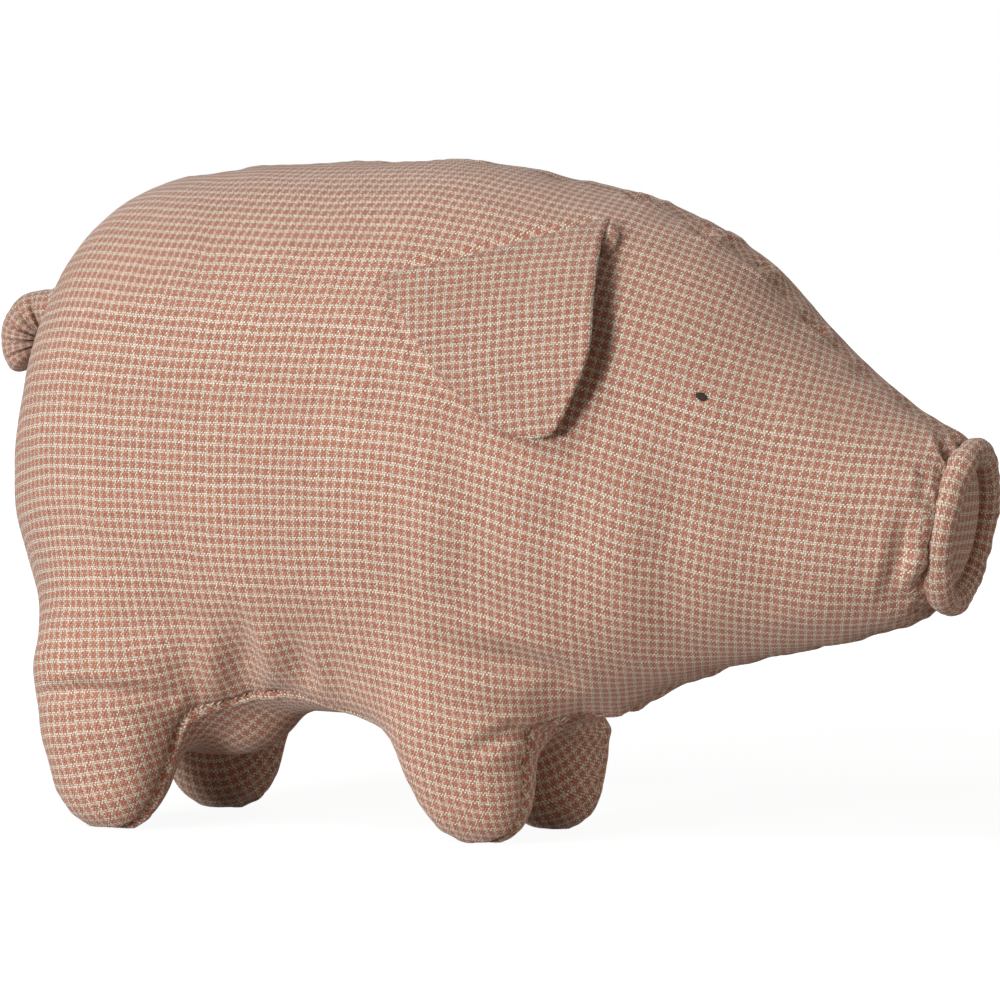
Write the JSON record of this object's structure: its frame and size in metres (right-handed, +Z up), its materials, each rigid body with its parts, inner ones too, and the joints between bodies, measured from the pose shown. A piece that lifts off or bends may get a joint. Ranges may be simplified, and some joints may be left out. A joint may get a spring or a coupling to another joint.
{
  "type": "stuffed toy pig",
  "caption": "Stuffed standing pig in checked woven cloth, with sewn side panels and belly gusset, stub legs, rolled snout, hanging lined ears and a gathered curled tail.",
  "frame": {"origin": "on the floor, under the middle of the bounding box, in the pig's mid-plane", "axes": "+X towards the snout, +Y towards the pig's left side, +Z up"},
  "size_m": [0.3323, 0.1222, 0.2061],
  "materials": {
    "check_cloth": "matt woven check, salmon red on cream",
    "gusset_cloth": "matt woven check, salmon red on cream",
    "inner_leg_cloth": "matt woven check, inner halves of the legs",
    "disc_cloth": "matt woven check, padded flat",
    "snout_cloth": "matt woven check, rolled and gathered",
    "hem_cloth": "matt woven check, folded under",
    "ear_cloth": "matt woven check, square to the ear",
    "ear_lining": "matt woven check, inside of the ear",
    "tail_cloth": "matt woven check, gathered",
    "eye_thread": "dark satin-stitched thread",
    "stuffing": "loose polyester fibre"
  },
  "bodies": {
    "pig": {"torso_filling": "stuffing", "head_filling": "stuffing", "left_side_panel": "check_cloth", "right_side_panel": "check_cloth", "belly_panel": "gusset_cloth", "left_rear_leg_outer_cover": "check_cloth", "left_rear_leg_inner_cover": "inner_leg_cloth", "left_rear_leg_filling": "stuffing", "left_front_leg_outer_cover": "check_cloth", "left_front_leg_inner_cover": "inner_leg_cloth", "left_front_leg_filling": "stuffing", "right_rear_leg_outer_cover": "check_cloth", "right_rear_leg_inner_cover": "inner_leg_cloth", "right_rear_leg_filling": "stuffing", "right_front_leg_outer_cover": "check_cloth", "right_front_leg_inner_cover": "inner_leg_cloth", "right_front_leg_filling": "stuffing", "snout_ring": "snout_cloth", "snout_disc": "disc_cloth", "left_ear_hem": "hem_cloth", "left_eye": "eye_thread", "right_ear_hem": "hem_cloth", "right_eye": "eye_thread"},
    "left_ear": {"left_ear_outer": "ear_cloth", "left_ear_lining": "ear_lining"},
    "right_ear": {"right_ear_outer": "ear_cloth", "right_ear_lining": "ear_lining"},
    "tail": {"tail": "tail_cloth"}
  },
  "joints": [
    {"name": "left_ear_fold", "type": "hinge", "parent": "pig", "child": "left_ear", "pos_m": [0.02477, 0.04274, 0.18357], "axis": [0.9198, -0.3123, 0.2377], "range_deg": [0, 100]},
    {"name": "right_ear_fold", "type": "hinge", "parent": "pig", "child": "right_ear", "pos_m": [0.02477, -0.04274, 0.18357], "axis": [-0.9198, -0.3123, -0.2377], "range_deg": [0, 100]},
    {"name": "tail_lift", "type": "hinge", "parent": "pig", "child": "tail", "pos_m": [-0.14714, 0, 0.1634], "axis": [0, 1, 0], "range_deg": [0, 70]}
  ]
}
